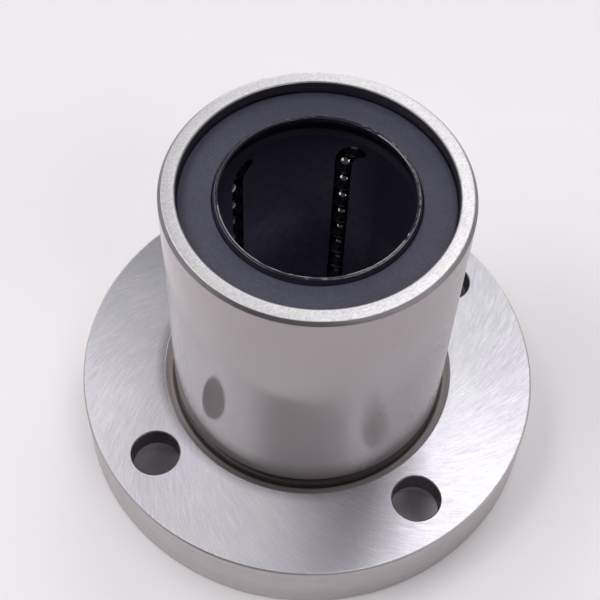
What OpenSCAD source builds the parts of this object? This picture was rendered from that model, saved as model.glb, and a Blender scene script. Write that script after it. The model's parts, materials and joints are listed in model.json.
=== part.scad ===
// Flanged linear ball bushing for a 20 mm shaft, with five closed circuits of balls.
// Origin: centre of the flange's end face. +Z runs along the shaft's axis, out of the
// sleeve's free end.

/* [Sleeve] */
// Outside diameter of the sleeve
sleeve_d = 32; // [32:0.5:33]
// Length of the sleeve, flange included
sleeve_len = 42; // [40:0.5:60]
// Chamfer on the outside of the sleeve's two ends
sleeve_chamfer = 0.4; // [0.2:0.1:0.6]
// Depth of the relief groove that the flange's bore ends at
undercut_depth = 0.45; // [0.2:0.05:0.6]

/* [Flange] */
// Diameter of the flange
flange_d = 54; // [54:1:64]
// Thickness of the flange
flange_t = 8; // [7:0.5:10]
// Diameter of the circle that the bolt holes lie on
bolt_circle_d = 43; // [42.5:0.5:44]
// Diameter of each bolt hole
bolt_hole_d = 5.5; // [4.5:0.1:5.5]
// Diameter of the counterbore for a bolt's head
counterbore_d = 9; // [7.5:0.1:9]
// Depth of the counterbore
counterbore_depth = 5.1; // [4:0.1:5.5]

/* [Balls] */
// Diameter of the shaft that the balls run on
shaft_d = 20; // [19.8:0.1:20.2]
// Diameter of each ball
ball_d = 3; // [2.9:0.05:3]
// Radius of the half-circle turn between a loaded row and its return row
turn_r = 2.4; // [2.35:0.05:2.45]

/* [Seals] */
// How far each seal's face lies inside the end of the sleeve
seal_recess = 1.45; // [1.2:0.05:1.5]
// Thickness of the seal plate
seal_t = 1.1; // [1:0.05:1.15]

/* [Hidden] */
$fn = 128;

steel = [0.72, 0.71, 0.70];
ball_steel = [0.85, 0.85, 0.87];
cage_plastic = [0.09, 0.09, 0.13];
seal_matte = [0.28, 0.28, 0.34];
lip_rubber = [0.05, 0.05, 0.06];

mid_z = sleeve_len / 2;
sleeve_r = sleeve_d / 2;
ball_r = ball_d / 2;

// Ball circuits. A loaded row rolls between the shaft and a raised land in the sleeve; its
// return row lies further out and a little way round, and half-circle turns join the two.
circuits = 5;
first_circuit_az = 82.5;
ball_gap = 0.02;
return_rise = 1.05;
loaded_row_r = shaft_d / 2 + ball_r;
return_row_r = loaded_row_r + return_rise;
row_gap = 2 * turn_r;
return_az = -acos((pow(loaded_row_r, 2) + pow(return_row_r, 2) - pow(row_gap, 2))
                  / (2 * loaded_row_r * return_row_r));
loaded_xy = [loaded_row_r, 0];
return_xy = return_row_r * [cos(return_az), sin(return_az)];
circuit_xy = (loaded_xy + return_xy) / 2;
circuit_plane_az = atan2(return_xy.y - loaded_xy.y, return_xy.x - loaded_xy.x);

// Stack at each end, measured from the sleeve's end face: seal, retaining ring, retainer
end_gap = 0.05;
ring_t = 0.65;
ring_w = 2.15;
ring_open_angle = 28;
ring_z = seal_recess + seal_t + end_gap;
retainer_end = ring_z + ring_t + end_gap;
retainer_len = sleeve_len - 2 * retainer_end;

// Ball tracks. A cut runs on past the face that it opens, so that it leaves no skin
cut_past = 1;
track_r = ball_r + 0.1;
mouth_w = ball_d + 0.12;
track_wall = 0.4;
straight_len = retainer_len - 2 * (track_wall + track_r + turn_r);
row_end_gap = 1.18;
least_pitch = ball_d + ball_gap;
row_balls = floor((straight_len - 2 * row_end_gap) / least_pitch) + 1;
ball_pitch = (straight_len - 2 * row_end_gap) / (row_balls - 1);
turn_balls = 2;
turn_pitch_angle = 2 * asin((ball_r + ball_gap / 2) / turn_r);

// Sleeve bore
race_r = shaft_d / 2 + ball_d + ball_gap;
relief_r = return_row_r + ball_r + 0.15;
land_angle = 22;
land_root = 0.4;
groove_r = relief_r + 0.7;
groove_slack = 0.03;
ring_slack = 0.05;
rim_chamfer = 0.12;
undercut_z = flange_t - 0.15;
undercut_len = 1.25;
undercut_slope = 0.15;

// Retainer
retainer_bore_r = shaft_d / 2 + 0.25;
retainer_r = relief_r - 0.2;
keyed_r = race_r - 0.17;
key_side_angle = 1;
key_end_gap = 0.3;
lead_in = 0.45;
retainer_chamfer = 0.3;

// Flange
bolt_holes = 4;
first_bolt_az = 45;
flange_chamfer = 0.2;
bore_chamfer_w = 1.2;
bore_chamfer_h = 0.9;
back_bore_chamfer = 0.3;
hole_chamfer = 0.15;

// Seals: the matte plate holds a rubber lip, which leans out towards the end of the sleeve
plate_r = relief_r - 0.02;
plate_edge_r = 0.2;
plate_bore_r = shaft_d / 2 + 0.65;
lip_foot_r = plate_bore_r + 0.75;
lip_foot_t = 0.45;
lip_tip_r = 0.22;
lip_tip_z = seal_recess - 0.4;
lip_land = 0.25;
lip_root_step = 0.15;
lip_back_step = 0.05;

// Points of a circular arc, from one angle to another
function arc(centre, r, from, to, steps) =
    [for (i = [0 : steps]) let (a = from + (to - from) * i / steps) centre + r * [cos(a), sin(a)]];

// Places its children at the free end as they lie at the flange's end
module at_free_end() {
    translate([0, 0, sleeve_len]) mirror([0, 0, 1]) children();
}

// Turns its children to ball circuit i, counted from 1
module circuit(i) {
    rotate([0, 0, first_circuit_az + (i - 1) * 360 / circuits]) children();
}

// The plane of one circuit: x from the loaded row to the return row, y along the shaft,
// and -z out of the retainer
module circuit_plane() {
    translate([circuit_xy.x, circuit_xy.y, mid_z])
        rotate([0, 0, circuit_plane_az])
            rotate([90, 0, 0])
                children();
}

// A straight band with two round ends, of half-width r
module stadium(r) {
    square([2 * r, straight_len], center = true);
    for (s = [-1, 1])
        translate([0, s * straight_len / 2])
            circle(r = r);
}

// ---- Sleeve: ground outside, with a race land inside for each loaded row ----
module outer_sleeve() {
    color(steel) {
        sleeve_tube();
        for (i = [1 : circuits])
            circuit(i) race_land();
    }
}

module sleeve_tube() {
    difference() {
        rotate_extrude()
            polygon([
                [relief_r + rim_chamfer, 0],
                [sleeve_r - sleeve_chamfer, 0],
                [sleeve_r, sleeve_chamfer],
                [sleeve_r, undercut_z],
                [sleeve_r - undercut_depth, undercut_z + undercut_slope],
                [sleeve_r - undercut_depth, undercut_z + undercut_len - undercut_slope],
                [sleeve_r, undercut_z + undercut_len],
                [sleeve_r, sleeve_len - sleeve_chamfer],
                [sleeve_r - sleeve_chamfer, sleeve_len],
                [relief_r + rim_chamfer, sleeve_len],
                [relief_r, sleeve_len - rim_chamfer],
                [relief_r, rim_chamfer]
            ]);
        ring_groove();
        at_free_end() ring_groove();
    }
}

module ring_groove() {
    translate([0, 0, ring_z - groove_slack])
        cylinder(r = groove_r, h = ring_t + 2 * groove_slack);
}

module race_land() {
    rotate([0, 0, -land_angle / 2])
        rotate_extrude(angle = land_angle)
            translate([race_r, mid_z - straight_len / 2])
                square([relief_r + land_root - race_r, straight_len]);
}

// ---- Flange: pressed onto the sleeve, bolted through four counterbored holes ----
module mounting_flange() {
    flange_r = flange_d / 2;
    color(steel)
        difference() {
            rotate_extrude()
                polygon([
                    [sleeve_r + back_bore_chamfer, 0],
                    [flange_r - flange_chamfer, 0],
                    [flange_r, flange_chamfer],
                    [flange_r, flange_t - flange_chamfer],
                    [flange_r - flange_chamfer, flange_t],
                    [sleeve_r + bore_chamfer_w, flange_t],
                    [sleeve_r, flange_t - bore_chamfer_h],
                    [sleeve_r, back_bore_chamfer]
                ]);
            for (i = [0 : bolt_holes - 1])
                rotate([0, 0, first_bolt_az + i * 360 / bolt_holes])
                    translate([bolt_circle_d / 2, 0, 0])
                        bolt_hole();
        }
}

module bolt_hole() {
    hole_r = bolt_hole_d / 2;
    translate([0, 0, -cut_past]) {
        cylinder(r = hole_r, h = flange_t + 2 * cut_past);
        cylinder(r = counterbore_d / 2, h = counterbore_depth + cut_past);
    }
    translate([0, 0, flange_t - hole_chamfer])
        cylinder(r1 = hole_r, r2 = hole_r + 2 * hole_chamfer, h = 2 * hole_chamfer);
}

// ---- Retainer: moulded cage with a closed track for each circuit ----
module ball_retainer() {
    color(cage_plastic)
        difference() {
            retainer_tube();
            for (i = [1 : circuits])
                circuit(i) {
                    land_keyway();
                    circuit_plane() ball_track();
                }
        }
}

module retainer_tube() {
    bottom = retainer_end;
    top = sleeve_len - retainer_end;
    rotate_extrude()
        polygon([
            [retainer_bore_r + lead_in, bottom],
            [retainer_r - retainer_chamfer, bottom],
            [retainer_r, bottom + retainer_chamfer],
            [retainer_r, top - retainer_chamfer],
            [retainer_r - retainer_chamfer, top],
            [retainer_bore_r + lead_in, top],
            [retainer_bore_r, top - lead_in],
            [retainer_bore_r, bottom + lead_in]
        ]);
}

// Room for the sleeve's race land, whose sides stop the retainer from turning
module land_keyway() {
    keyway_len = straight_len + 2 * key_end_gap;
    rotate([0, 0, -land_angle / 2 - key_side_angle])
        rotate_extrude(angle = land_angle + 2 * key_side_angle)
            translate([keyed_r, mid_z - keyway_len / 2])
                square([relief_r - keyed_r, keyway_len]);
}

// The closed track: round at the bottom, with a mouth outwards that a ball passes through
module ball_track() {
    for (s = [-1, 1])
        translate([s * turn_r, 0, 0])
            rotate([90, 0, 0])
                cylinder(r = track_r, h = straight_len, center = true);
    for (turn = [0, 180])
        rotate([0, 0, turn])
            translate([0, straight_len / 2, 0])
                rotate_extrude(angle = 180)
                    translate([turn_r, 0])
                        circle(r = track_r);
    mouth_depth = relief_r - loaded_row_r + cut_past;
    translate([0, 0, -mouth_depth])
        linear_extrude(mouth_depth)
            difference() {
                stadium(turn_r + mouth_w / 2);
                stadium(turn_r - mouth_w / 2);
            }
}

// ---- Retaining rings: open spring rings in the sleeve's grooves ----
module retaining_ring() {
    color(steel)
        rotate([0, 0, -90 + ring_open_angle / 2])
            rotate_extrude(angle = 360 - ring_open_angle)
                translate([groove_r - ring_slack - ring_w, ring_z])
                    square([ring_w, ring_t]);
}

module retaining_ring_top() {
    at_free_end() retaining_ring();
}

module retaining_ring_bottom() {
    retaining_ring();
}

// ---- Seals: a matte plate and the rubber wiping lip bonded into it ----
module seal_plate() {
    back = seal_recess + seal_t;
    edge_centre = [plate_r - plate_edge_r, seal_recess + plate_edge_r];
    color(seal_matte)
        rotate_extrude()
            polygon(concat(
                [[plate_bore_r, seal_recess]],
                arc(edge_centre, plate_edge_r, -90, 0, 4),
                [
                    [plate_r, back],
                    [lip_foot_r, back],
                    [lip_foot_r, back - lip_foot_t],
                    [plate_bore_r, back - lip_foot_t]
                ]));
}

module seal_lip() {
    back = seal_recess + seal_t;
    tip_centre = [shaft_d / 2 + lip_tip_r, lip_tip_z];
    color(lip_rubber)
        rotate_extrude()
            polygon(concat(
                [
                    [lip_foot_r, back],
                    [lip_foot_r, back - lip_foot_t],
                    [plate_bore_r, back - lip_foot_t],
                    [plate_bore_r, seal_recess + lip_root_step]
                ],
                arc(tip_centre, lip_tip_r, -20, -180, 8),
                [
                    [shaft_d / 2, lip_tip_z + lip_land],
                    [plate_bore_r - lip_back_step, back]
                ]));
}

module seal_plate_top() {
    at_free_end() seal_plate();
}

module seal_plate_bottom() {
    seal_plate();
}

module seal_lip_top() {
    at_free_end() seal_lip();
}

module seal_lip_bottom() {
    seal_lip();
}

// ---- Balls ----
module ball() {
    color(ball_steel) sphere(r = ball_r, $fn = 48);
}

// One straight row: side -1 is the loaded row, side 1 the return row
module ball_row(side) {
    circuit_plane()
        for (k = [0 : row_balls - 1])
            translate([side * turn_r, (k - (row_balls - 1) / 2) * ball_pitch, 0])
                ball();
}

// The balls in one turn: end 0 is the upper turn, end 180 the lower turn
module ball_turn(end) {
    circuit_plane()
        rotate([0, 0, end])
            translate([0, straight_len / 2, 0])
                for (k = [0 : turn_balls - 1])
                    rotate([0, 0, (k - (turn_balls - 1) / 2) * turn_pitch_angle])
                        translate([0, turn_r, 0])
                            ball();
}

module loaded_balls(i) {
    circuit(i) ball_row(-1);
}

module return_balls(i) {
    circuit(i) ball_row(1);
}

module upper_turn_balls(i) {
    circuit(i) ball_turn(0);
}

module lower_turn_balls(i) {
    circuit(i) ball_turn(180);
}

outer_sleeve();
mounting_flange();
ball_retainer();
retaining_ring_top();
retaining_ring_bottom();
seal_plate_top();
seal_plate_bottom();
seal_lip_top();
seal_lip_bottom();
loaded_balls(1);  // loaded_balls_1
loaded_balls(2);  // loaded_balls_2
loaded_balls(3);  // loaded_balls_3
loaded_balls(4);  // loaded_balls_4
loaded_balls(5);  // loaded_balls_5
return_balls(1);  // return_balls_1
return_balls(2);  // return_balls_2
return_balls(3);  // return_balls_3
return_balls(4);  // return_balls_4
return_balls(5);  // return_balls_5
upper_turn_balls(1);  // upper_turn_balls_1
upper_turn_balls(2);  // upper_turn_balls_2
upper_turn_balls(3);  // upper_turn_balls_3
upper_turn_balls(4);  // upper_turn_balls_4
upper_turn_balls(5);  // upper_turn_balls_5
lower_turn_balls(1);  // lower_turn_balls_1
lower_turn_balls(2);  // lower_turn_balls_2
lower_turn_balls(3);  // lower_turn_balls_3
lower_turn_balls(4);  // lower_turn_balls_4
lower_turn_balls(5);  // lower_turn_balls_5
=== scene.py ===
"""Looks of a flanged linear ball bushing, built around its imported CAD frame. Units are metres."""
import json
import math

import bmesh
import bpy
from mathutils import Matrix, Vector


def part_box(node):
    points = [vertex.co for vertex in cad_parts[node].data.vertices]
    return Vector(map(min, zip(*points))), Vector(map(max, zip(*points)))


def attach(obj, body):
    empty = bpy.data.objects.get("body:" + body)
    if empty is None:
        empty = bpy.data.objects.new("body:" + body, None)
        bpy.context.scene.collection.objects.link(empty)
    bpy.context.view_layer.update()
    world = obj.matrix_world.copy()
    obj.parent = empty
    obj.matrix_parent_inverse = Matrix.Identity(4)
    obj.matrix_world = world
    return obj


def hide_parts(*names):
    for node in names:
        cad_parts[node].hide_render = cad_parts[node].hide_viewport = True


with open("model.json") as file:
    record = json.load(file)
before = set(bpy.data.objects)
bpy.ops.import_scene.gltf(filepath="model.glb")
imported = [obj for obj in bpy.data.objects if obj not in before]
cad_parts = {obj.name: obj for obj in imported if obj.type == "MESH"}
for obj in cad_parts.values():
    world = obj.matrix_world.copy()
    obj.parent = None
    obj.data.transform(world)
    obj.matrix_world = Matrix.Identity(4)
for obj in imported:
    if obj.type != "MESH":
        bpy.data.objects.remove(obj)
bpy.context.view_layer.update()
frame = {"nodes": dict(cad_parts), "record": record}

MM = 0.001
MOUNTS = {m["name"]: m for m in frame["record"]["mounts"]}
HOUSING = "housing"

# ---- Sizes taken from the frame ----
_, sleeve_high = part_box("outer_sleeve")
_, flange_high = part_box("mounting_flange")
plate_low, plate_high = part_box("seal_plate_bottom")
lip_low, lip_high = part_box("seal_lip_bottom")
ring_low, ring_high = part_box("retaining_ring_bottom")
retainer_low, retainer_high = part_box("ball_retainer")
SLEEVE_R = sleeve_high.x
SLEEVE_LEN = sleeve_high.z
FLANGE_R = flange_high.x
FLANGE_T = flange_high.z
PLATE_R = plate_high.x
RETAINER_HALF = (retainer_high.z - retainer_low.z) / 2
SHAFT_R = MOUNTS["shaft_bore"]["dims"]["r_mm"] * MM
BOLT_CIRCLE_R = MOUNTS["flange_bolts"]["dims"]["pcd_mm"] * MM / 2
BOLT_HOLE_R = MOUNTS["flange_bolts"]["dims"]["hole_r_mm"] * MM
BOLT_HOLES = MOUNTS["flange_bolts"]["dims"]["count"]

# ---- Sizes of the detail: the sleeve ----
SLEEVE_CHAMFER = 0.4 * MM
RIM_CHAMFER = 0.12 * MM
BORE_R = PLATE_R + 0.02 * MM
UNDERCUT_R = SLEEVE_R - 0.45 * MM
UNDERCUT_LOW = FLANGE_T - 0.15 * MM
UNDERCUT_HIGH = UNDERCUT_LOW + 1.25 * MM
UNDERCUT_SLOPE = 0.15 * MM
GROOVE_R = ring_high.x + 0.05 * MM
GROOVE_SLACK = 0.03 * MM
LAND_R = SHAFT_R + 3.02 * MM
LAND_LEN = 26.6 * MM
LAND_ANGLE = math.radians(22)
FIRST_ROW_AZ = math.radians(82.5)
ROW_STEP = math.radians(72)
STEP_SLACK = 0.02 * MM
LEAD_IN = 0.45 * MM  # the CAD retainer's chamfer at each end of its bore

# ---- The flange ----
FIRST_BOLT_AZ = math.radians(45)
FLANGE_CHAMFER = 0.2 * MM
BORE_CHAMFER_W = 1.2 * MM
BORE_CHAMFER_H = 0.9 * MM
BACK_CHAMFER = 0.3 * MM
HOLE_CHAMFER = 0.14 * MM
COUNTERBORE_R = 4.5 * MM
COUNTERBORE_DEPTH = 5.1 * MM
DRILL_PAST = 1.0 * MM  # how far the drill runs past each face
AXIS_R = 0.0004 * MM  # keeps the drill's section off its own axis

# ---- The seals ----
PLATE_BORE_R = SHAFT_R + 0.65 * MM
PLATE_INNER_ROUND = 0.12 * MM
PLATE_OUTER_ROUND = 0.22 * MM
LIP_FOOT_R = PLATE_BORE_R + 0.75 * MM
LIP_FOOT_T = 0.45 * MM
LIP_ROOT_Z = plate_low.z + 0.15 * MM
LIP_ROOT_ROUND = 0.10 * MM
LIP_CREST_R = SHAFT_R + 0.42 * MM
LIP_CREST_ROUND = 0.22 * MM
LIP_BEVEL_W = 0.19 * MM
LIP_BEVEL_H = 0.10 * MM
LIP_BEVEL_ROUND = 0.04 * MM
LIP_WIPER_H = 0.47 * MM
LIP_WIPER_ROUND = 0.15 * MM
LIP_BACK_R = PLATE_BORE_R - 0.05 * MM
LIP_BACK_ROUND = 0.05 * MM

# ---- Rounding and facets ----
FINE_ROUND = 0.06 * MM
SOFT_ROUND = 0.10 * MM
CORNER_SHARE = 0.45  # the most of an edge that one rounded corner may use
CREASE = math.radians(40)
NORMAL_WEIGHT = 50
CORNER_STEPS = 4
SEAL_CORNER_STEPS = 6
LATHE_STEPS = 240
HOLE_STEPS = 96

# ---- Floor ----
FLOOR_R = 1.6
FLOOR_STEPS = 96
FLOOR_GAP = 0.01 * MM

# ---- Courses of the grinding marks, and where painted shade lies ----
FACE_R = BOLT_CIRCLE_R
FACE_TWIST = 1.35
RIM_COURSE = math.radians(50)
SHADE_BAND_W = 0.35 * MM
BORE_SHADE_RING = 1.2 * MM
FOOT_FADE = 4.0 * MM
FOOT_SHADE = 0.5


# ---- Mesh helpers ----
def rounded(corners, steps=CORNER_STEPS):
    """A section's corners (r, z, zone, radius) with each corner rounded off. The zone is the
    material index of the surface that runs on from the corner."""
    points = []
    count = len(corners)
    for i, (r, z, zone, radius) in enumerate(corners):
        here = Vector((r, z))
        before = Vector(corners[i - 1][:2])
        after = Vector(corners[(i + 1) % count][:2])
        if radius <= 0:
            points.append((r, z, zone))
            continue
        back = (before - here).normalized()
        on = (after - here).normalized()
        reach = min(radius, (before - here).length * CORNER_SHARE,
                    (after - here).length * CORNER_SHARE)
        start, end = here + back * reach, here + on * reach
        for k in range(steps + 1):
            t = k / steps
            p = start * (1 - t) ** 2 + here * 2 * t * (1 - t) + end * t ** 2
            points.append((p.x, p.y, zone))
    return points


def lathe_into(bm, section, steps=LATHE_STEPS, centre=(0.0, 0.0), shape=None):
    """Turns a closed section about a line along Z through centre. shape(r, angle) may change a
    point's radius along its way round."""
    rings = []
    for r, z, _ in section:
        ring = []
        for j in range(steps):
            a = 2 * math.pi * j / steps
            reach = shape(r, a) if shape else r
            x, y = centre[0] + reach * math.cos(a), centre[1] + reach * math.sin(a)
            ring.append(bm.verts.new((x, y, z)))
        rings.append(ring)
    for i, (_, _, zone) in enumerate(section):
        here, there = rings[i], rings[(i + 1) % len(rings)]
        for j in range(steps):
            k = (j + 1) % steps
            face = bm.faces.new((here[j], here[k], there[k], there[j]))
            face.material_index = zone
            face.smooth = True


def mesh_object(name, bm, materials):
    bmesh.ops.recalc_face_normals(bm, faces=bm.faces)
    mesh = bpy.data.meshes.new(name)
    bm.to_mesh(mesh)
    bm.free()
    for material in materials:
        mesh.materials.append(material)
    piece = bpy.data.objects.new(name, mesh)
    bpy.context.scene.collection.objects.link(piece)
    return piece


def soften(piece):
    """Keeps hard corners hard, and weights the other normals by face size, so that flat faces
    stay flat beside their rounded edges."""
    bm = bmesh.new()
    bm.from_mesh(piece.data)
    for edge in bm.edges:
        edge.smooth = not edge.is_manifold or edge.calc_face_angle() < CREASE
    bm.to_mesh(piece.data)
    bm.free()
    modifier = piece.modifiers.new("weighted_normals", "WEIGHTED_NORMAL")
    modifier.mode = "FACE_AREA"
    modifier.weight = NORMAL_WEIGHT
    modifier.keep_sharp = True


def turned_piece(name, section, materials, shape=None):
    """A piece turned about the bushing's axis."""
    bm = bmesh.new()
    lathe_into(bm, section, shape=shape)
    piece = mesh_object(name, bm, materials)
    soften(piece)
    return piece


# ---- Material helpers ----
MIX_FACTOR, MIX_A, MIX_B, MIX_RESULT = 0, 6, 7, 2  # the colour sockets of a Mix node


class Shader:
    """A material's node tree, with short calls for the nodes that the finishes share."""

    def __init__(self, name, **values):
        self.material = bpy.data.materials.new(name)
        self.material.use_nodes = True
        self.tree = self.material.node_tree
        self.bsdf = self.tree.nodes["Principled BSDF"]
        for socket, value in values.items():
            self.bsdf.inputs[socket.replace("_", " ")].default_value = value

    def node(self, kind, inputs=None, **settings):
        made = self.tree.nodes.new(kind)
        for key, value in settings.items():
            setattr(made, key, value)
        for key, value in (inputs or {}).items():
            if isinstance(value, bpy.types.NodeSocket):
                self.tree.links.new(value, made.inputs[key])
            else:
                made.inputs[key].default_value = value
        return made

    def place(self):
        """The point on the object at rest, in metres."""
        return self.node("ShaderNodeTexCoord").outputs["Object"]

    def math(self, operation, a, b=0.0):
        return self.node("ShaderNodeMath", {0: a, 1: b}, operation=operation).outputs[0]

    def times(self, a, b):
        return self.math("MULTIPLY", a, b)

    def split(self, vector):
        return self.node("ShaderNodeSeparateXYZ", {0: vector}).outputs

    def join(self, x, y, z):
        return self.node("ShaderNodeCombineXYZ", {0: x, 1: y, 2: z}).outputs[0]

    def flat(self, vector):
        x, y, _ = self.split(vector)
        return self.join(x, y, 0.0)

    def radius(self, place):
        """Distance from the axis."""
        made = self.node("ShaderNodeVectorMath", {0: self.flat(place)}, operation="LENGTH")
        return made.outputs["Value"]

    def heading(self, place):
        """Direction from the axis, as the x and y of a vector of length one."""
        made = self.node("ShaderNodeVectorMath", {0: self.flat(place)}, operation="NORMALIZE")
        x, y, _ = self.split(made.outputs[0])
        return x, y

    def turned_about_z(self, vector, angle):
        return self.node("ShaderNodeVectorRotate", {"Vector": vector, "Angle": angle},
                         rotation_type="Z_AXIS").outputs[0]

    def noise(self, vector, scale=1.0, detail=3.0, roughness=0.55, distortion=0.0):
        made = self.node("ShaderNodeTexNoise", {
            "Vector": vector, "Scale": scale, "Detail": detail, "Roughness": roughness,
            "Distortion": distortion})
        return made.outputs["Fac"]

    def streaks(self, x, y, z, scales, **how):
        """Noise drawn out by its own amount along each of three coordinates."""
        point = self.join(*(self.times(part, scale) for part, scale in zip((x, y, z), scales)))
        return self.noise(point, **how)

    def remap(self, value, low, high, to_low=0.0, to_high=1.0):
        made = self.node("ShaderNodeMapRange", {
            "Value": value, "From Min": low, "From Max": high, "To Min": to_low,
            "To Max": to_high})
        return made.outputs["Result"]

    def blend(self, factor, a, b, mode="MIX"):
        made = self.node("ShaderNodeMix", data_type="RGBA", blend_type=mode)
        for key, value in ((MIX_FACTOR, factor), (MIX_A, a), (MIX_B, b)):
            if isinstance(value, bpy.types.NodeSocket):
                self.tree.links.new(value, made.inputs[key])
            else:
                made.inputs[key].default_value = value
        return made.outputs[MIX_RESULT]

    def scaled_tone(self, tone, amount):
        return self.blend(1.0, tone, amount, "MULTIPLY")

    def colour(self, value):
        self.tree.links.new(value, self.bsdf.inputs["Base Color"])

    def roughness(self, value):
        self.tree.links.new(value, self.bsdf.inputs["Roughness"])

    def bump(self, height, strength, distance):
        made = self.node("ShaderNodeBump", {
            "Height": height, "Strength": strength, "Distance": distance})
        self.tree.links.new(made.outputs["Normal"], self.bsdf.inputs["Normal"])

    def tangent(self, value):
        self.tree.links.new(value, self.bsdf.inputs["Tangent"])


def rgb(r, g, b):
    return (r, g, b, 1.0)


# ---- Finishes. A noise's scale is in features per metre, and a remap's first two numbers are the
# levels of the noise between which its mark shows. ----
BRIGHT_MARK = rgb(0.90, 0.89, 0.91)
DARK_MARK = rgb(0.36, 0.345, 0.37)
BRIGHT_KNOCK = rgb(0.97, 0.96, 0.98)
DARK_KNOCK = rgb(0.40, 0.385, 0.41)
CLOUD_TINT = rgb(0.95, 0.93, 1.0)
BLACK = rgb(0.0, 0.0, 0.0)
GRAIN_W, MARK_W = 0.11 * MM, 0.10 * MM
GRAIN_LEN, HAIR_LEN, CUT_LEN = 1.3 * MM, 2.6 * MM, 1.8 * MM
HAIR_COURSE, CUT_COURSE = 0.75, 1.3  # how far the odd marks stray from the course


def ground_cylinder():
    """The sleeve's outside: centreless ground, then polished, with faint oil smudges. It is darker
    beside the flange, as painted shade, and hazier on the side that was handled most."""
    s = Shader("ground_cylinder", Metallic=0.42, Anisotropic=0.35)
    place = s.place()
    _, _, z = s.split(place)
    ax, ay = s.heading(place)
    waves = s.streaks(ax, ay, z, (14.0, 14.0, 1300.0), detail=2.0)
    smudge = s.noise(place, 160.0, detail=4.0, distortion=0.6)
    haze = s.noise(place, 45.0, detail=2.0)
    tone = s.blend(s.remap(haze, 0.35, 0.7), rgb(0.415, 0.385, 0.39), rgb(0.385, 0.34, 0.35))
    tone = s.blend(s.remap(smudge, 0.62, 0.8, 0.0, 0.25), tone, rgb(0.40, 0.35, 0.355))
    # painted shade: the tone darkens over FOOT_FADE towards the flange
    s.colour(s.scaled_tone(tone, s.remap(z, UNDERCUT_HIGH, UNDERCUT_HIGH + FOOT_FADE,
                                         FOOT_SHADE, 1.0)))
    handled = s.remap(ax, 0.0, 0.6, 0.0, 0.17)
    s.roughness(s.math("ADD", s.remap(haze, 0.4, 0.7, 0.09, 0.13), handled))
    s.bump(waves, 0.08, 0.005 * MM)
    # a highlight is drawn out across the grinding lines, so along the axis
    s.tangent(s.join(0.0, 0.0, 1.0))
    return s.material


def arc_lines(s, place, width, length, twist, detail=1.0):
    """Noise drawn out along arcs that leave the radius at a constant angle, atan(twist)."""
    r = s.radius(place)
    turn = s.times(s.math("LOGARITHM", s.math("DIVIDE", r, FACE_R), math.e), -twist)
    x, y = s.heading(s.turned_about_z(place, turn))
    around = FACE_R / width
    return s.streaks(x, y, r, (around, around, 1 / length), detail=detail, roughness=0.6)


def straight_lines(s, place, width, length, direction, detail=1.0):
    """Noise drawn out along parallel lines."""
    x, y, z = s.split(s.turned_about_z(place, -direction))
    return s.streaks(x, y, z, (1 / length, 1 / width, 1.0), detail=detail, roughness=0.6)


def across_arcs(s, place):
    return s.turned_about_z(s.flat(place), math.atan(FACE_TWIST) - math.pi / 2)


def across_rim(s, place):
    return s.join(-math.sin(RIM_COURSE), math.cos(RIM_COURSE), 0.0)


def ground_face(name, bright, dark, lines, course, across, reach=1.0, nicks=0.0, fade=0.0,
                bore_shade=0.0):
    """A ground flat face. lines draws its marks along a course, and across(s, place) is the
    direction square to them, along which a highlight spreads. reach scales the marks' length,
    nicks is how strongly small knocks show, fade is how much painted shade lowers the tone towards
    the back and painted light raises it at the front, and the last argument is how dark painted
    shade makes the face beside its bore, except on the right."""
    s = Shader(name, Metallic=1.0, Anisotropic=0.9)
    place = s.place()
    grain = lines(s, place, GRAIN_W, GRAIN_LEN * reach, course, detail=2.0)
    hairs = lines(s, place, MARK_W, HAIR_LEN * reach, course * HAIR_COURSE)
    cuts = lines(s, place, MARK_W, CUT_LEN * reach, course * CUT_COURSE)
    patch = s.noise(place, 320.0, detail=4.0, distortion=0.4)
    cloud = s.noise(place, 70.0, detail=2.0)
    knocks = s.noise(place, 4200.0, detail=2.0, roughness=0.6)
    tone = s.blend(s.remap(grain, 0.38, 0.62), dark, bright)
    tone = s.blend(s.remap(hairs, 0.58, 0.72, 0.0, 0.50), tone, BRIGHT_MARK)
    tone = s.blend(s.remap(cuts, 0.58, 0.72, 0.0, 0.34), tone, DARK_MARK)
    tone = s.blend(s.remap(patch, 0.50, 0.72, 0.0, 0.45), tone, dark)
    tone = s.blend(s.remap(cloud, 0.45, 0.65, 0.0, 0.50), tone, CLOUD_TINT, "MULTIPLY")
    tone = s.blend(s.remap(knocks, 0.58, 0.68, 0.0, nicks), tone, BRIGHT_KNOCK)
    tone = s.blend(s.remap(knocks, 0.42, 0.33, 0.0, nicks), tone, DARK_KNOCK)
    x, y, _ = s.split(place)
    r = s.radius(place)
    # painted shade towards the back and painted light towards the front, set by fade
    if fade:
        half = FLANGE_R * 0.8
        tone = s.scaled_tone(tone, s.remap(y, -half, half, 1.0 + fade, 1.0 - fade))
    # painted shade: a dark ring on the face beside the bore, kept off the right side
    if bore_shade:
        mouth_r = SLEEVE_R + BORE_CHAMFER_W
        ring = s.remap(r, mouth_r, mouth_r + BORE_SHADE_RING, bore_shade, 0.0)
        off_right = s.remap(s.math("DIVIDE", x, r), 0.2, 0.5, 1.0, 0.0)
        tone = s.blend(s.times(ring, off_right), tone, BLACK)
    s.colour(tone)
    s.roughness(s.remap(grain, 0.35, 0.65, 0.40, 0.30))
    relief = s.math("ADD", s.times(grain, 0.5), s.math("SUBTRACT", hairs, cuts))
    relief = s.math("ADD", relief, s.times(knocks, 4.0 * nicks))
    s.bump(relief, 0.06, 0.01 * MM)
    s.tangent(across(s, place))
    return s.material


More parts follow.
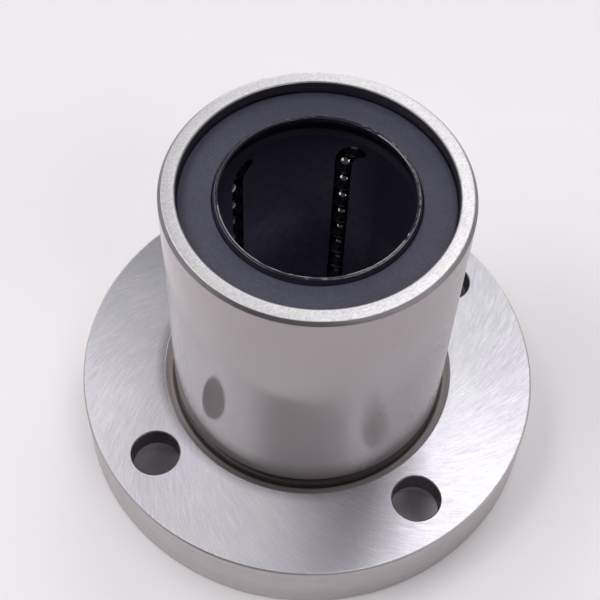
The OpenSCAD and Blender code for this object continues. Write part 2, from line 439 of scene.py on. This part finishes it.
def turned_metal(name, bright, dark, rough, metallic=1.0, front=1.0):
    """Turned steel: chamfers, grooves and the flange's edge, with fine lines around the axis. front
    scales the tone at the front, as painted shade."""
    s = Shader(name, Metallic=metallic, Anisotropic=0.4)
    place = s.place()
    x, y, z = s.split(place)
    r = s.radius(place)
    slant = s.math("ADD", s.times(z, 7000.0), s.times(r, 7000.0))
    lines = s.streaks(x, y, slant, (60.0, 60.0, 1.0), detail=2.0)
    patch = s.noise(place, 220.0, detail=4.0)
    tone = s.blend(s.remap(lines, 0.35, 0.65), dark, bright)
    tone = s.blend(s.remap(patch, 0.55, 0.8, 0.0, 0.5), tone, dark)
    # painted shade: the tone falls towards the front
    if front < 1.0:
        tone = s.scaled_tone(tone, s.remap(s.math("DIVIDE", y, r), -1.0, -0.5, front, 1.0))
    s.colour(tone)
    s.roughness(s.remap(patch, 0.3, 0.7, rough, rough + 0.12))
    s.bump(lines, 0.2, 0.006 * MM)
    s.tangent(s.node("ShaderNodeTangent", direction_type="RADIAL", axis="Z").outputs[0])
    return s.material


def moulded(name, base, light, rough, grain, depth=0.02 * MM, specular=0.5, detail=4.0):
    """Moulded plastic or rubber with a fine grain."""
    s = Shader(name, Specular_IOR_Level=specular)
    place = s.place()
    fine = s.noise(place, grain, detail=detail, roughness=0.7)
    cloud = s.noise(place, 130.0, detail=3.0)
    tone = s.blend(s.remap(fine, 0.35, 0.7), base, light)
    tone = s.blend(s.remap(cloud, 0.4, 0.7, 0.0, 0.5), tone, base)
    s.colour(tone)
    s.roughness(s.remap(cloud, 0.3, 0.7, rough, rough + 0.1))
    s.bump(fine, 1.0, depth)
    return s.material


def cage_plastic():
    """The retainer's dark plastic, paler between its ends from dust and painted fill light that
    lifts the dim bore, palest in its lower half and faint on the right. The lead-ins are nearly
    black, as painted shade."""
    s = Shader("retainer_plastic", Roughness=0.55, Specular_IOR_Level=0.1)
    place = s.place()
    x, _, z = s.split(place)
    off_middle = s.math("ABSOLUTE", s.math("SUBTRACT", z, SLEEVE_LEN / 2))
    # dust and painted fill light: a paler tone between the ends, palest low in the bore, faint on
    # the right
    dust_and_fill_side = s.remap(s.math("DIVIDE", x, s.radius(place)), 0.15, 0.55, 1.0, 0.15)
    dust_and_fill = s.times(s.remap(off_middle, 17.5 * MM, 3.0 * MM), dust_and_fill_side)
    pale_low, pale_high = s.remap(z, 4.0 * MM, 10.0 * MM), s.remap(z, 26.0 * MM, 14.0 * MM)
    pale_dust_and_fill = s.times(s.times(pale_high, pale_low), dust_and_fill_side)
    # painted shade: the lead-ins are darkened nearly to black
    lead_in = s.remap(off_middle, RETAINER_HALF - LEAD_IN * 1.1, RETAINER_HALF - LEAD_IN * 0.9)
    fine = s.noise(place, 1500.0, detail=4.0, roughness=0.7)
    tone = s.blend(dust_and_fill, rgb(0.016, 0.014, 0.030), rgb(0.13, 0.12, 0.19))
    tone = s.blend(pale_dust_and_fill, tone, rgb(0.34, 0.32, 0.48))
    tone = s.blend(lead_in, tone, rgb(0.006, 0.005, 0.011))
    tone = s.blend(s.remap(fine, 0.4, 0.7, 0.0, 0.35), tone, rgb(0.012, 0.011, 0.02))
    s.colour(tone)
    s.bump(fine, 0.1, 0.02 * MM)
    return s.material


def polished_ball():
    s = Shader("polished_ball", Metallic=1.0)
    film = s.noise(s.place(), 700.0, detail=3.0)
    s.colour(s.blend(s.remap(film, 0.4, 0.7), rgb(0.21, 0.207, 0.222), rgb(0.155, 0.152, 0.161)))
    s.roughness(s.remap(film, 0.3, 0.7, 0.03, 0.08))
    return s.material


OD = ground_cylinder()
RIM = ground_face("ground_rim", rgb(0.765, 0.745, 0.76), rgb(0.60, 0.58, 0.595),
                  straight_lines, RIM_COURSE, across_rim, reach=0.4, nicks=0.28)
# the flange face carries painted shade towards the back and beside the bore
FACE = ground_face("ground_flange_face", rgb(0.66, 0.645, 0.69), rgb(0.56, 0.545, 0.59),
                   arc_lines, FACE_TWIST, across_arcs, nicks=0.15, fade=0.10, bore_shade=0.45)
CHAMFER = turned_metal("turned_chamfer", rgb(0.34, 0.315, 0.33), rgb(0.22, 0.205, 0.215), 0.30)
EDGE = turned_metal("turned_edge", rgb(0.56, 0.53, 0.53), rgb(0.45, 0.425, 0.425), 0.34)
# front sets painted shade at the front of the groove, the seam and the bore chamfer
GROOVE = turned_metal("dark_groove", rgb(0.13, 0.108, 0.115), rgb(0.065, 0.055, 0.058), 0.50,
                      front=0.4)
# painted shade: the crease where the sleeve meets the flange is a darker copy of the bore chamfer
SEAM = turned_metal("shaded_seam", rgb(0.48, 0.42, 0.42), rgb(0.34, 0.30, 0.30), 0.50, front=0.5)
MOUTH = turned_metal("bore_chamfer", rgb(0.90, 0.82, 0.82), rgb(0.62, 0.56, 0.56), 0.36,
                     metallic=0.5, front=0.38)
SINK = turned_metal("counterbore", rgb(0.84, 0.82, 0.84), rgb(0.72, 0.70, 0.72), 0.34,
                    metallic=0.45)
BORE = turned_metal("plain_bore", rgb(0.20, 0.19, 0.215), rgb(0.12, 0.115, 0.13), 0.30)
SPRING = turned_metal("spring_wire", rgb(0.30, 0.29, 0.28), rgb(0.18, 0.17, 0.16), 0.30)
PLATE = moulded("matte_seal_plate", rgb(0.023, 0.022, 0.044), rgb(0.066, 0.063, 0.105), 0.50,
                grain=6500.0)
LIP = moulded("glossy_lip_rubber", rgb(0.010, 0.009, 0.018), rgb(0.018, 0.016, 0.032), 0.05,
              grain=700.0, depth=0.12 * MM, specular=0.8, detail=1.0)
CAGE = cage_plastic()
BALL = polished_ball()


# ---- Sleeve ----
def race_lands(r, angle):
    """The lands stand in from the bore only along the five loaded rows."""
    off_row = (angle - FIRST_ROW_AZ + ROW_STEP / 2) % ROW_STEP - ROW_STEP / 2
    on_land = abs(off_row) < LAND_ANGLE / 2
    return r if on_land else max(r, BORE_R)


def sleeve():
    od, rim, chamfer, groove, bore, seam = range(6)
    groove_low, groove_high = ring_low.z - GROOVE_SLACK, ring_high.z + GROOVE_SLACK
    land_low, land_high = (SLEEVE_LEN - LAND_LEN) / 2, (SLEEVE_LEN + LAND_LEN) / 2
    corners = [
        (BORE_R + RIM_CHAMFER, 0, rim, FINE_ROUND),
        (SLEEVE_R - SLEEVE_CHAMFER, 0, chamfer, FINE_ROUND),
        (SLEEVE_R, SLEEVE_CHAMFER, od, SOFT_ROUND),
        # painted shade on the sleeve's wall inside the flange's bore chamfer
        (SLEEVE_R, FLANGE_T - BORE_CHAMFER_H, seam, 0),
        (SLEEVE_R, UNDERCUT_LOW, groove, FINE_ROUND),
        (UNDERCUT_R, UNDERCUT_LOW + UNDERCUT_SLOPE, groove, SOFT_ROUND),
        (UNDERCUT_R, UNDERCUT_HIGH - UNDERCUT_SLOPE, groove, SOFT_ROUND),
        (SLEEVE_R, UNDERCUT_HIGH, od, FINE_ROUND),
        (SLEEVE_R, SLEEVE_LEN - SLEEVE_CHAMFER, chamfer, SOFT_ROUND),
        (SLEEVE_R - SLEEVE_CHAMFER, SLEEVE_LEN, rim, FINE_ROUND),
        (BORE_R + RIM_CHAMFER, SLEEVE_LEN, chamfer, FINE_ROUND),
        (BORE_R, SLEEVE_LEN - RIM_CHAMFER, bore, FINE_ROUND),
        (BORE_R, SLEEVE_LEN - groove_low, bore, 0),
        (GROOVE_R, SLEEVE_LEN - groove_low, bore, 0),
        (GROOVE_R, SLEEVE_LEN - groove_high, bore, 0),
        (BORE_R, SLEEVE_LEN - groove_high, bore, 0),
        (BORE_R, land_high + STEP_SLACK, bore, 0),
        (LAND_R, land_high, bore, 0),
        (LAND_R, land_low, bore, 0),
        (BORE_R, land_low - STEP_SLACK, bore, 0),
        (BORE_R, groove_high, bore, 0),
        (GROOVE_R, groove_high, bore, 0),
        (GROOVE_R, groove_low, bore, 0),
        (BORE_R, groove_low, bore, 0),
        (BORE_R, RIM_CHAMFER, chamfer, FINE_ROUND),
    ]
    return turned_piece("sleeve_body", rounded(corners), [OD, RIM, CHAMFER, GROOVE, BORE, SEAM],
                        race_lands)


# ---- Flange ----
FLANGE_MATERIALS = [FACE, EDGE, CHAMFER, BORE, MOUTH, SINK, SEAM]


def drills(chamfer, hole, sink):
    """The tools that cut the bolt holes and their counterbores."""
    section = rounded([
        (AXIS_R, -DRILL_PAST, sink, 0),
        (COUNTERBORE_R + HOLE_CHAMFER + DRILL_PAST, -DRILL_PAST, sink, 0),
        (COUNTERBORE_R, HOLE_CHAMFER, sink, FINE_ROUND),
        (COUNTERBORE_R, COUNTERBORE_DEPTH, sink, FINE_ROUND),
        (BOLT_HOLE_R, COUNTERBORE_DEPTH, hole, FINE_ROUND),
        (BOLT_HOLE_R, FLANGE_T - HOLE_CHAMFER, chamfer, FINE_ROUND),
        (BOLT_HOLE_R + HOLE_CHAMFER + DRILL_PAST, FLANGE_T + DRILL_PAST, chamfer, 0),
        (AXIS_R, FLANGE_T + DRILL_PAST, chamfer, 0),
    ])
    bm = bmesh.new()
    for i in range(BOLT_HOLES):
        a = FIRST_BOLT_AZ + 2 * math.pi * i / BOLT_HOLES
        centre = (BOLT_CIRCLE_R * math.cos(a), BOLT_CIRCLE_R * math.sin(a))
        lathe_into(bm, section, HOLE_STEPS, centre)
    return mesh_object("drill", bm, FLANGE_MATERIALS)


def flange():
    face, edge, chamfer, hole, mouth, sink, seam = range(7)
    # painted shade on the inner band of the bore chamfer
    shade_band_depth = BORE_CHAMFER_H * (1 - SHADE_BAND_W / BORE_CHAMFER_W)
    corners = [
        (SLEEVE_R + BACK_CHAMFER, 0, face, FINE_ROUND),
        (FLANGE_R - FLANGE_CHAMFER, 0, chamfer, FINE_ROUND),
        (FLANGE_R, FLANGE_CHAMFER, edge, FINE_ROUND * 2),
        (FLANGE_R, FLANGE_T - FLANGE_CHAMFER, edge, FINE_ROUND * 2),
        (FLANGE_R - FLANGE_CHAMFER, FLANGE_T, face, FINE_ROUND),
        (SLEEVE_R + BORE_CHAMFER_W, FLANGE_T, mouth, FINE_ROUND),
        (SLEEVE_R + SHADE_BAND_W, FLANGE_T - shade_band_depth, seam, 0),
        (SLEEVE_R, FLANGE_T - BORE_CHAMFER_H, hole, FINE_ROUND),
        (SLEEVE_R, BACK_CHAMFER, chamfer, 0),
    ]
    bm = bmesh.new()
    lathe_into(bm, rounded(corners))
    piece = mesh_object("flange_body", bm, FLANGE_MATERIALS)
    cutter = drills(chamfer, hole, sink)
    cut = piece.modifiers.new("bolt_holes", "BOOLEAN")
    cut.operation = "DIFFERENCE"
    cut.solver = "EXACT"
    cut.object = cutter
    bpy.context.view_layer.update()
    drilled = piece.evaluated_get(bpy.context.evaluated_depsgraph_get())
    solid = bpy.data.meshes.new_from_object(drilled)
    piece.modifiers.clear()
    piece.data = solid
    bpy.data.objects.remove(cutter)
    soften(piece)
    return piece


# ---- Seals. Their sections are drawn at the flange's end, facing down. ----
def as_is(section):
    return section


def mirrored(section):
    """The same section at the sleeve's free end."""
    return [(r, SLEEVE_LEN - z, zone) for r, z, zone in section]


def seal_plate(name, placed):
    face = 0
    back, front = plate_high.z, plate_low.z
    foot = back - LIP_FOOT_T
    corners = [
        (PLATE_BORE_R, front, face, PLATE_INNER_ROUND),
        (PLATE_R, front, face, PLATE_OUTER_ROUND),
        (PLATE_R, back, face, 0),
        (LIP_FOOT_R, back, face, 0),
        (LIP_FOOT_R, foot, face, 0),
        (PLATE_BORE_R, foot, face, 0),
    ]
    return turned_piece(name, placed(rounded(corners, SEAL_CORNER_STEPS)), [PLATE])


def seal_lip(name, placed):
    face = 0
    back, tip = lip_high.z, lip_low.z
    foot = back - LIP_FOOT_T
    corners = [
        (LIP_FOOT_R, back, face, 0),
        (LIP_FOOT_R, foot, face, 0),
        (PLATE_BORE_R, foot, face, 0),
        (PLATE_BORE_R, LIP_ROOT_Z, face, LIP_ROOT_ROUND),
        (LIP_CREST_R, tip, face, LIP_CREST_ROUND),
        (SHAFT_R + LIP_BEVEL_W, tip, face, LIP_BEVEL_ROUND),
        (SHAFT_R, tip + LIP_BEVEL_H, face, LIP_BEVEL_ROUND),
        (SHAFT_R, tip + LIP_WIPER_H, face, LIP_WIPER_ROUND),
        (LIP_BACK_R, back, face, LIP_BACK_ROUND),
    ]
    return turned_piece(name, placed(rounded(corners, SEAL_CORNER_STEPS)), [LIP])


def install(piece, node):
    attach(piece, HOUSING)
    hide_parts(node)


install(sleeve(), "outer_sleeve")
install(flange(), "mounting_flange")
for end, placed in (("top", mirrored), ("bottom", as_is)):
    install(seal_plate("seal_face_" + end, placed), "seal_plate_" + end)
    install(seal_lip("wiping_lip_" + end, placed), "seal_lip_" + end)


# ---- CAD nodes that keep their shape ----
def refinish(node, material):
    for slot in frame["nodes"][node].material_slots:
        slot.link = "OBJECT"
        slot.material = material


for node in frame["nodes"]:
    if "balls" in node:
        refinish(node, BALL)
    elif node == "ball_retainer":
        refinish(node, CAGE)
    elif node.startswith("retaining_ring"):
        refinish(node, SPRING)


# ---- Floor ----
def floor():
    """A pale sheet with faint clouds and marks, slightly paler towards the front right and darker
    towards the back left, as painted light and shade.
    """
    bm = bmesh.new()
    bmesh.ops.create_circle(bm, cap_ends=True, segments=FLOOR_STEPS, radius=FLOOR_R)
    s = Shader("pale_floor", Roughness=0.55)
    place = s.place()
    cloud = s.noise(place, 16.0, detail=4.0, distortion=0.5)
    mark = s.noise(place, 90.0, detail=5.0, roughness=0.7, distortion=1.2)
    tone = s.blend(s.remap(cloud, 0.35, 0.7), rgb(0.89, 0.85, 0.875), rgb(0.86, 0.82, 0.845))
    tone = s.blend(s.remap(mark, 0.64, 0.8, 0.0, 0.35), tone, rgb(0.76, 0.73, 0.75))
    x, y, _ = s.split(place)
    # painted light and shade: the tone falls from the front right to the back left
    painted_falloff_axis = s.math("SUBTRACT", y, s.times(x, 0.6))
    s.colour(s.scaled_tone(tone, s.remap(painted_falloff_axis, -60 * MM, 85 * MM, 1.035, 0.915)))
    piece = mesh_object("floor", bm, [s.material])
    piece.location.z = -FLOOR_GAP


floor()

# ---- Light ----
PANEL_HEIGHT = 0.80
PANELS = {
    # name: (x, y), (size along x, size along y), power
    "left_strip": ((-0.54, 0.0), (0.36, 1.44), 4.9),
    "left_key": ((-0.54, -0.18), (0.36, 0.36), 1.7),
    "right_panel": ((0.18, 0.36), (0.36, 0.72), 2.0),
    "front_right_key": ((0.54, -0.54), (0.36, 0.36), 2.0),
}
SIDE_HEIGHT = 0.35
SIDE_SIZE = (1.6, 0.6)
SIDES = {
    # name: (x, y), power
    "left_side": ((-0.9, 0.0), 1.6),
    "right_side": ((0.9, 0.0), 2.3),
    "back_side": ((0.0, 1.2), 8.0),
}
WORLD_COLOUR = rgb(0.97, 0.96, 1.0)
WORLD_STRENGTH = 0.17


def area_light(name, place, aim, size, power):
    data = bpy.data.lights.new(name, "AREA")
    data.shape = "RECTANGLE"
    data.size, data.size_y = size
    data.energy = power
    lamp = bpy.data.objects.new(name, data)
    lamp.location = place
    lamp.rotation_euler = (Vector(aim) - Vector(place)).to_track_quat("-Z", "Y").to_euler()
    bpy.context.scene.collection.objects.link(lamp)


for name, ((x, y), size, power) in PANELS.items():
    area_light(name, (x, y, PANEL_HEIGHT), (x, y, 0.0), size, power)
for name, ((x, y), power) in SIDES.items():
    area_light(name, (x, y, SIDE_HEIGHT), (0.0, 0.0, SIDE_HEIGHT), SIDE_SIZE, power)

world = bpy.data.worlds.new("studio")
bpy.context.scene.world = world
world.use_nodes = True
world.node_tree.nodes["Background"].inputs["Color"].default_value = WORLD_COLOUR
world.node_tree.nodes["Background"].inputs["Strength"].default_value = WORLD_STRENGTH

# ---- Camera ----
CAMERA_PLACE = (0.01001, -0.0804, 0.14482)
CAMERA_TURN = math.radians(8.02)
CAMERA_TILT = math.radians(33.36)
CAMERA_ROLL = math.radians(2.59)
CAMERA_LENS = 78.8  # on a sensor of this width, both in millimetres
CAMERA_SENSOR = 36.0
CAMERA_NEAR, CAMERA_FAR = 0.005, 20.0

camera_data = bpy.data.cameras.new("camera")
camera_data.lens = CAMERA_LENS
camera_data.sensor_width = CAMERA_SENSOR
camera_data.clip_start, camera_data.clip_end = CAMERA_NEAR, CAMERA_FAR
camera = bpy.data.objects.new("camera", camera_data)
camera.matrix_world = (Matrix.Translation(CAMERA_PLACE) @ Matrix.Rotation(CAMERA_TURN, 4, "Z")
                       @ Matrix.Rotation(CAMERA_TILT, 4, "X")
                       @ Matrix.Rotation(CAMERA_ROLL, 4, "Z"))
bpy.context.scene.collection.objects.link(camera)
bpy.context.scene.camera = camera
bpy.context.scene.view_settings.view_transform = "Standard"
